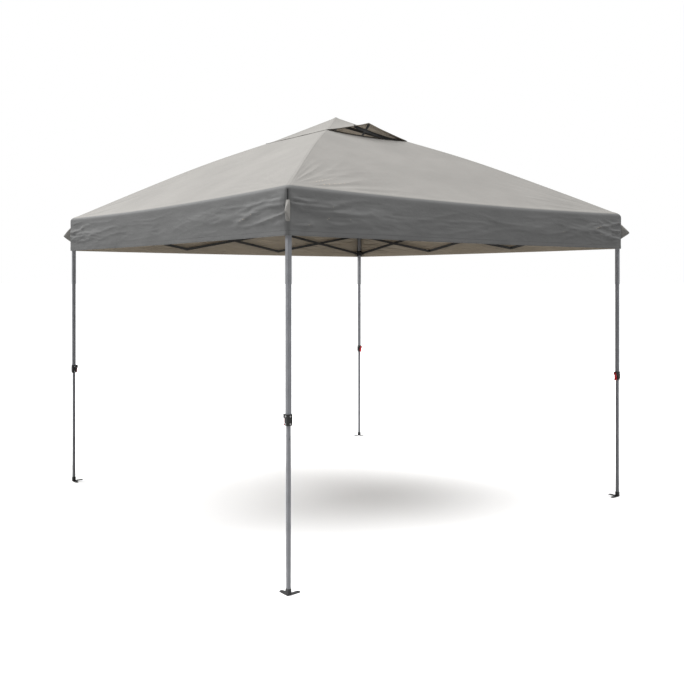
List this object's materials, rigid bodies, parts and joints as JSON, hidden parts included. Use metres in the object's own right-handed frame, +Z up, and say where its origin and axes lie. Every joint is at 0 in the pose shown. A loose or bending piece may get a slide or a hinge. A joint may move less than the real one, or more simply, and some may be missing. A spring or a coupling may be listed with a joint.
{
  "type": "pop-up canopy tent",
  "caption": "Square pop-up canopy with a folding scissor frame, telescoping legs with lever adjusters, a fabric roof, valance and vented cap.",
  "frame": {"origin": "on the floor under the middle of the tent", "axes": "+Z up; two sides of the square lie along X and two along Y; the raised vent faces -Y"},
  "size_m": [3, 3, 2.834],
  "materials": {
    "leg_steel": "satin grey powder coat",
    "foot_steel": "satin dark grey powder coat",
    "truss_steel": "satin black powder coat",
    "bracket_plastic": "matte black nylon",
    "lever_plastic": "red moulded plastic",
    "roof_fabric": "light warm grey coated polyester",
    "valance_fabric": "dark grey coated polyester"
  },
  "bodies": {
    "post_front_left": {"outer_leg_front_left": "leg_steel", "adjuster_housing_front_left": "bracket_plastic", "head_bracket_front_left": "bracket_plastic", "canopy_roof": "roof_fabric", "valance": "valance_fabric", "vent_cap": "roof_fabric"},
    "inner_leg_front_left": {"inner_leg_front_left": "leg_steel"},
    "adjuster_lever_front_left": {"adjuster_lever_front_left": "lever_plastic"},
    "slider_front_left": {"slider_front_left": "bracket_plastic"},
    "rib_outer_front_left": {"rib_outer_front_left": "truss_steel"},
    "rib_inner_front_left": {"rib_inner_front_left": "truss_steel"},
    "post_front_right": {"outer_leg_front_right": "leg_steel", "adjuster_housing_front_right": "bracket_plastic", "head_bracket_front_right": "bracket_plastic"},
    "inner_leg_front_right": {"inner_leg_front_right": "leg_steel"},
    "adjuster_lever_front_right": {"adjuster_lever_front_right": "lever_plastic"},
    "slider_front_right": {"slider_front_right": "bracket_plastic"},
    "rib_outer_front_right": {"rib_outer_front_right": "truss_steel"},
    "rib_inner_front_right": {"rib_inner_front_right": "truss_steel"},
    "post_rear_right": {"outer_leg_rear_right": "leg_steel", "adjuster_housing_rear_right": "bracket_plastic", "head_bracket_rear_right": "bracket_plastic"},
    "inner_leg_rear_right": {"inner_leg_rear_right": "leg_steel"},
    "adjuster_lever_rear_right": {"adjuster_lever_rear_right": "lever_plastic"},
    "slider_rear_right": {"slider_rear_right": "bracket_plastic"},
    "rib_outer_rear_right": {"rib_outer_rear_right": "truss_steel"},
    "rib_inner_rear_right": {"rib_inner_rear_right": "truss_steel"},
    "post_rear_left": {"outer_leg_rear_left": "leg_steel", "adjuster_housing_rear_left": "bracket_plastic", "head_bracket_rear_left": "bracket_plastic"},
    "inner_leg_rear_left": {"inner_leg_rear_left": "leg_steel"},
    "adjuster_lever_rear_left": {"adjuster_lever_rear_left": "lever_plastic"},
    "slider_rear_left": {"slider_rear_left": "bracket_plastic"},
    "rib_outer_rear_left": {"rib_outer_rear_left": "truss_steel"},
    "rib_inner_rear_left": {"rib_inner_rear_left": "truss_steel"},
    "truss_front_a1": {"truss_front_a1": "truss_steel"},
    "truss_front_a2": {"truss_front_a2": "truss_steel"},
    "truss_front_a3": {"truss_front_a3": "truss_steel"},
    "truss_front_b1": {"truss_front_b1": "truss_steel"},
    "truss_front_b2": {"truss_front_b2": "truss_steel"},
    "truss_front_b3": {"truss_front_b3": "truss_steel"},
    "truss_left_a1": {"truss_left_a1": "truss_steel"},
    "truss_left_a2": {"truss_left_a2": "truss_steel"},
    "truss_left_a3": {"truss_left_a3": "truss_steel"},
    "truss_left_b1": {"truss_left_b1": "truss_steel"},
    "truss_left_b2": {"truss_left_b2": "truss_steel"},
    "truss_left_b3": {"truss_left_b3": "truss_steel"},
    "truss_right_a1": {"truss_right_a1": "truss_steel"},
    "truss_right_a2": {"truss_right_a2": "truss_steel"},
    "truss_right_a3": {"truss_right_a3": "truss_steel"},
    "truss_right_b1": {"truss_right_b1": "truss_steel"},
    "truss_right_b2": {"truss_right_b2": "truss_steel"},
    "truss_right_b3": {"truss_right_b3": "truss_steel"},
    "truss_rear_a1": {"truss_rear_a1": "truss_steel"},
    "truss_rear_a2": {"truss_rear_a2": "truss_steel"},
    "truss_rear_a3": {"truss_rear_a3": "truss_steel"},
    "truss_rear_b1": {"truss_rear_b1": "truss_steel"},
    "truss_rear_b2": {"truss_rear_b2": "truss_steel"},
    "truss_rear_b3": {"truss_rear_b3": "truss_steel"},
    "hub": {"hub": "bracket_plastic"}
  },
  "joints": [
    {"name": "frame_fold", "type": "hinge", "parent": "post_front_left", "child": "truss_front_a1", "pos_m": [-1.435, -1.475, 2.03], "axis": [0, 1, 0], "range_deg": [0, 74], "deforming": ["canopy_roof", "valance", "vent_cap"]},
    {"name": "front_b1_cross", "type": "hinge", "parent": "truss_front_a1", "child": "truss_front_b1", "pos_m": [-0.95667, -1.475, 1.942], "axis": [0, 1, 0], "range_deg": [-148.5, 0]},
    {"name": "front_b2_low", "type": "hinge", "parent": "truss_front_a1", "child": "truss_front_b2", "pos_m": [-0.47833, -1.475, 1.854], "axis": [0, 1, 0], "range_deg": [-148.5, 0]},
    {"name": "front_a2_cross", "type": "hinge", "parent": "truss_front_b2", "child": "truss_front_a2", "pos_m": [0, -1.475, 1.942], "axis": [0, 1, 0], "range_deg": [0, 148.5]},
    {"name": "front_a3_high", "type": "hinge", "parent": "truss_front_b2", "child": "truss_front_a3", "pos_m": [0.47833, -1.475, 2.03], "axis": [0, 1, 0], "range_deg": [0, 148.5]},
    {"name": "front_b3_cross", "type": "hinge", "parent": "truss_front_a3", "child": "truss_front_b3", "pos_m": [0.95667, -1.475, 1.942], "axis": [0, 1, 0], "range_deg": [-148.5, 0]},
    {"name": "front_right_post_head", "type": "hinge", "parent": "truss_front_b3", "child": "post_front_right", "pos_m": [1.435, -1.475, 2.03], "axis": [0, 1, 0], "range_deg": [0, 74.5]},
    {"name": "front_left_slider_pivot", "type": "hinge", "parent": "truss_front_b1", "child": "slider_front_left", "pos_m": [-1.435, -1.475, 1.854], "axis": [0, 1, 0], "range_deg": [0, 74.5]},
    {"name": "front_right_slider_pivot", "type": "hinge", "parent": "truss_front_a3", "child": "slider_front_right", "pos_m": [1.435, -1.475, 1.854], "axis": [0, 1, 0], "range_deg": [-74.5, 0]},
    {"name": "left_a1_head", "type": "hinge", "parent": "post_front_left", "child": "truss_left_a1", "pos_m": [-1.475, -1.435, 2.03], "axis": [-1, 0, 0], "range_deg": [0, 74.5]},
    {"name": "left_b1_cross", "type": "hinge", "parent": "truss_left_a1", "child": "truss_left_b1", "pos_m": [-1.475, -0.95667, 1.942], "axis": [-1, 0, 0], "range_deg": [-148.5, 0]},
    {"name": "left_b2_low", "type": "hinge", "parent": "truss_left_a1", "child": "truss_left_b2", "pos_m": [-1.475, -0.47833, 1.854], "axis": [-1, 0, 0], "range_deg": [-148.5, 0]},
    {"name": "left_a2_cross", "type": "hinge", "parent": "truss_left_b2", "child": "truss_left_a2", "pos_m": [-1.475, 0, 1.942], "axis": [-1, 0, 0], "range_deg": [0, 148.5]},
    {"name": "left_a3_high", "type": "hinge", "parent": "truss_left_b2", "child": "truss_left_a3", "pos_m": [-1.475, 0.47833, 2.03], "axis": [-1, 0, 0], "range_deg": [0, 148.5]},
    {"name": "left_b3_cross", "type": "hinge", "parent": "truss_left_a3", "child": "truss_left_b3", "pos_m": [-1.475, 0.95667, 1.942], "axis": [-1, 0, 0], "range_deg": [-148.5, 0]},
    {"name": "rear_left_post_head", "type": "hinge", "parent": "truss_left_b3", "child": "post_rear_left", "pos_m": [-1.475, 1.435, 2.03], "axis": [-1, 0, 0], "range_deg": [0, 74.5]},
    {"name": "rear_left_slider_pivot", "type": "hinge", "parent": "truss_left_a3", "child": "slider_rear_left", "pos_m": [-1.475, 1.435, 1.854], "axis": [-1, 0, 0], "range_deg": [-74.5, 0]},
    {"name": "right_a1_head", "type": "hinge", "parent": "post_front_right", "child": "truss_right_a1", "pos_m": [1.475, -1.435, 2.03], "axis": [-1, 0, 0], "range_deg": [0, 74.5]},
    {"name": "right_b1_cross", "type": "hinge", "parent": "truss_right_a1", "child": "truss_right_b1", "pos_m": [1.475, -0.95667, 1.942], "axis": [-1, 0, 0], "range_deg": [-148.5, 0]},
    {"name": "right_b2_low", "type": "hinge", "parent": "truss_right_a1", "child": "truss_right_b2", "pos_m": [1.475, -0.47833, 1.854], "axis": [-1, 0, 0], "range_deg": [-148.5, 0]},
    {"name": "right_a2_cross", "type": "hinge", "parent": "truss_right_b2", "child": "truss_right_a2", "pos_m": [1.475, 0, 1.942], "axis": [-1, 0, 0], "range_deg": [0, 148.5]},
    {"name": "right_a3_high", "type": "hinge", "parent": "truss_right_b2", "child": "truss_right_a3", "pos_m": [1.475, 0.47833, 2.03], "axis": [-1, 0, 0], "range_deg": [0, 148.5]},
    {"name": "right_b3_cross", "type": "hinge", "parent": "truss_right_a3", "child": "truss_right_b3", "pos_m": [1.475, 0.95667, 1.942], "axis": [-1, 0, 0], "range_deg": [-148.5, 0]},
    {"name": "rear_right_post_head", "type": "hinge", "parent": "truss_right_b3", "child": "post_rear_right", "pos_m": [1.475, 1.435, 2.03], "axis": [-1, 0, 0], "range_deg": [0, 74.5]},
    {"name": "rear_right_slider_pivot", "type": "hinge", "parent": "truss_right_a3", "child": "slider_rear_right", "pos_m": [1.475, 1.435, 1.854], "axis": [-1, 0, 0], "range_deg": [-74.5, 0]},
    {"name": "rear_a1_head", "type": "hinge", "parent": "post_rear_left", "child": "truss_rear_a1", "pos_m": [-1.435, 1.475, 2.03], "axis": [0, 1, 0], "range_deg": [0, 74.5]},
    {"name": "rear_b1_cross", "type": "hinge", "parent": "truss_rear_a1", "child": "truss_rear_b1", "pos_m": [-0.95667, 1.475, 1.942], "axis": [0, 1, 0], "range_deg": [-148.5, 0]},
    {"name": "rear_b2_low", "type": "hinge", "parent": "truss_rear_a1", "child": "truss_rear_b2", "pos_m": [-0.47833, 1.475, 1.854], "axis": [0, 1, 0], "range_deg": [-148.5, 0]},
    {"name": "rear_a2_cross", "type": "hinge", "parent": "truss_rear_b2", "child": "truss_rear_a2", "pos_m": [0, 1.475, 1.942], "axis": [0, 1, 0], "range_deg": [0, 148.5]},
    {"name": "rear_a3_high", "type": "hinge", "parent": "truss_rear_b2", "child": "truss_rear_a3", "pos_m": [0.47833, 1.475, 2.03], "axis": [0, 1, 0], "range_deg": [0, 148.5]},
    {"name": "rear_b3_cross", "type": "hinge", "parent": "truss_rear_a3", "child": "truss_rear_b3", "pos_m": [0.95667, 1.475, 1.942], "axis": [0, 1, 0], "range_deg": [-148.5, 0]},
    {"name": "front_left_rib_root", "type": "hinge", "parent": "post_front_left", "child": "rib_outer_front_left", "pos_m": [-1.44177, -1.44177, 2.046], "axis": [-0.7071, 0.7071, 0], "range_deg": [0, 107.61]},
    {"name": "front_left_rib_elbow", "type": "hinge", "parent": "rib_outer_front_left", "child": "rib_inner_front_left", "pos_m": [-0.72125, -0.72125, 2.46], "axis": [-0.7071, 0.7071, 0], "range_deg": [-177.14, 0]},
    {"name": "hub_pivot", "type": "hinge", "parent": "rib_inner_front_left", "child": "hub", "pos_m": [-0.04384, -0.04384, 2.762], "axis": [-0.7071, 0.7071, 0], "range_deg": [0, 70.02]},
    {"name": "front_right_rib_root", "type": "hinge", "parent": "post_front_right", "child": "rib_outer_front_right", "pos_m": [1.44177, -1.44177, 2.046], "axis": [-0.7071, -0.7071, 0], "range_deg": [0, 107.61]},
    {"name": "rear_right_rib_root", "type": "hinge", "parent": "post_rear_right", "child": "rib_outer_rear_right", "pos_m": [1.44177, 1.44177, 2.046], "axis": [0.7071, -0.7071, 0], "range_deg": [0, 107.61]},
    {"name": "rear_left_rib_root", "type": "hinge", "parent": "post_rear_left", "child": "rib_outer_rear_left", "pos_m": [-1.44177, 1.44177, 2.046], "axis": [0.7071, 0.7071, 0], "range_deg": [0, 107.61]},
    {"name": "front_right_rib_hub", "type": "hinge", "parent": "hub", "child": "rib_inner_front_right", "pos_m": [0.04384, -0.04384, 2.762], "axis": [-0.7071, -0.7071, 0], "range_deg": [-70.02, 0]},
    {"name": "rear_right_rib_hub", "type": "hinge", "parent": "hub", "child": "rib_inner_rear_right", "pos_m": [0.04384, 0.04384, 2.762], "axis": [0.7071, -0.7071, 0], "range_deg": [-70.02, 0]},
    {"name": "rear_left_rib_hub", "type": "hinge", "parent": "hub", "child": "rib_inner_rear_left", "pos_m": [-0.04384, 0.04384, 2.762], "axis": [0.7071, 0.7071, 0], "range_deg": [-70.02, 0]},
    {"name": "front_left_leg_slide", "type": "slide", "parent": "post_front_left", "child": "inner_leg_front_left", "axis": [0, 0, 1], "range_m": [0, 0.75]},
    {"name": "front_left_lever_pull", "type": "hinge", "parent": "post_front_left", "child": "adjuster_lever_front_left", "pos_m": [-1.475, -1.4525, 0.905], "axis": [1, 0, 0], "range_deg": [0, 25], "stiffness_Nm_per_rad": 0.4, "springref_deg": -11.46},
    {"name": "front_right_leg_slide", "type": "slide", "parent": "post_front_right", "child": "inner_leg_front_right", "axis": [0, 0, 1], "range_m": [0, 0.75]},
    {"name": "front_right_lever_pull", "type": "hinge", "parent": "post_front_right", "child": "adjuster_lever_front_right", "pos_m": [1.4525, -1.475, 0.905], "axis": [0, 1, 0], "range_deg": [0, 25], "stiffness_Nm_per_rad": 0.4, "springref_deg": -11.46},
    {"name": "rear_right_leg_slide", "type": "slide", "parent": "post_rear_right", "child": "inner_leg_rear_right", "axis": [0, 0, 1], "range_m": [0, 0.75]},
    {"name": "rear_right_lever_pull", "type": "hinge", "parent": "post_rear_right", "child": "adjuster_lever_rear_right", "pos_m": [1.475, 1.4525, 0.905], "axis": [-1, 0, 0], "range_deg": [0, 25], "stiffness_Nm_per_rad": 0.4, "springref_deg": -11.46},
    {"name": "rear_left_leg_slide", "type": "slide", "parent": "post_rear_left", "child": "inner_leg_rear_left", "axis": [0, 0, 1], "range_m": [0, 0.75]},
    {"name": "rear_left_lever_pull", "type": "hinge", "parent": "post_rear_left", "child": "adjuster_lever_rear_left", "pos_m": [-1.4525, 1.475, 0.905], "axis": [0, -1, 0], "range_deg": [0, 25], "stiffness_Nm_per_rad": 0.4, "springref_deg": -11.46}
  ],
  "couplings": [
    {"joint": "front_b1_cross", "follows": "frame_fold", "ratio": -2},
    {"joint": "front_b2_low", "follows": "frame_fold", "ratio": -2},
    {"joint": "front_a2_cross", "follows": "frame_fold", "ratio": 2},
    {"joint": "front_a3_high", "follows": "frame_fold", "ratio": 2},
    {"joint": "front_b3_cross", "follows": "frame_fold", "ratio": -2},
    {"joint": "front_right_post_head", "follows": "frame_fold", "ratio": 1},
    {"joint": "front_left_slider_pivot", "follows": "frame_fold", "ratio": 1},
    {"joint": "front_right_slider_pivot", "follows": "frame_fold", "ratio": -1},
    {"joint": "left_a1_head", "follows": "frame_fold", "ratio": 1},
    {"joint": "left_b1_cross", "follows": "frame_fold", "ratio": -2},
    {"joint": "left_b2_low", "follows": "frame_fold", "ratio": -2},
    {"joint": "left_a2_cross", "follows": "frame_fold", "ratio": 2},
    {"joint": "left_a3_high", "follows": "frame_fold", "ratio": 2},
    {"joint": "left_b3_cross", "follows": "frame_fold", "ratio": -2},
    {"joint": "rear_left_post_head", "follows": "frame_fold", "ratio": 1},
    {"joint": "rear_left_slider_pivot", "follows": "frame_fold", "ratio": -1},
    {"joint": "right_a1_head", "follows": "frame_fold", "ratio": 1},
    {"joint": "right_b1_cross", "follows": "frame_fold", "ratio": -2},
    {"joint": "right_b2_low", "follows": "frame_fold", "ratio": -2},
    {"joint": "right_a2_cross", "follows": "frame_fold", "ratio": 2},
    {"joint": "right_a3_high", "follows": "frame_fold", "ratio": 2},
    {"joint": "right_b3_cross", "follows": "frame_fold", "ratio": -2},
    {"joint": "rear_right_post_head", "follows": "frame_fold", "ratio": 1},
    {"joint": "rear_right_slider_pivot", "follows": "frame_fold", "ratio": -1},
    {"joint": "rear_a1_head", "follows": "frame_fold", "ratio": 1},
    {"joint": "rear_b1_cross", "follows": "frame_fold", "ratio": -2},
    {"joint": "rear_b2_low", "follows": "frame_fold", "ratio": -2},
    {"joint": "rear_a2_cross", "follows": "frame_fold", "ratio": 2},
    {"joint": "rear_a3_high", "follows": "frame_fold", "ratio": 2},
    {"joint": "rear_b3_cross", "follows": "frame_fold", "ratio": -2},
    {"joint": "front_left_rib_root", "follows": "frame_fold", "ratio": 1.4475},
    {"joint": "front_left_rib_elbow", "follows": "frame_fold", "ratio": -2.387},
    {"joint": "hub_pivot", "follows": "frame_fold", "ratio": 0.93952},
    {"joint": "front_right_rib_root", "follows": "frame_fold", "ratio": 1.4475},
    {"joint": "rear_right_rib_root", "follows": "frame_fold", "ratio": 1.4475},
    {"joint": "rear_left_rib_root", "follows": "frame_fold", "ratio": 1.4475},
    {"joint": "front_right_rib_hub", "follows": "frame_fold", "ratio": -0.93952},
    {"joint": "rear_right_rib_hub", "follows": "frame_fold", "ratio": -0.93952},
    {"joint": "rear_left_rib_hub", "follows": "frame_fold", "ratio": -0.93952}
  ]
}
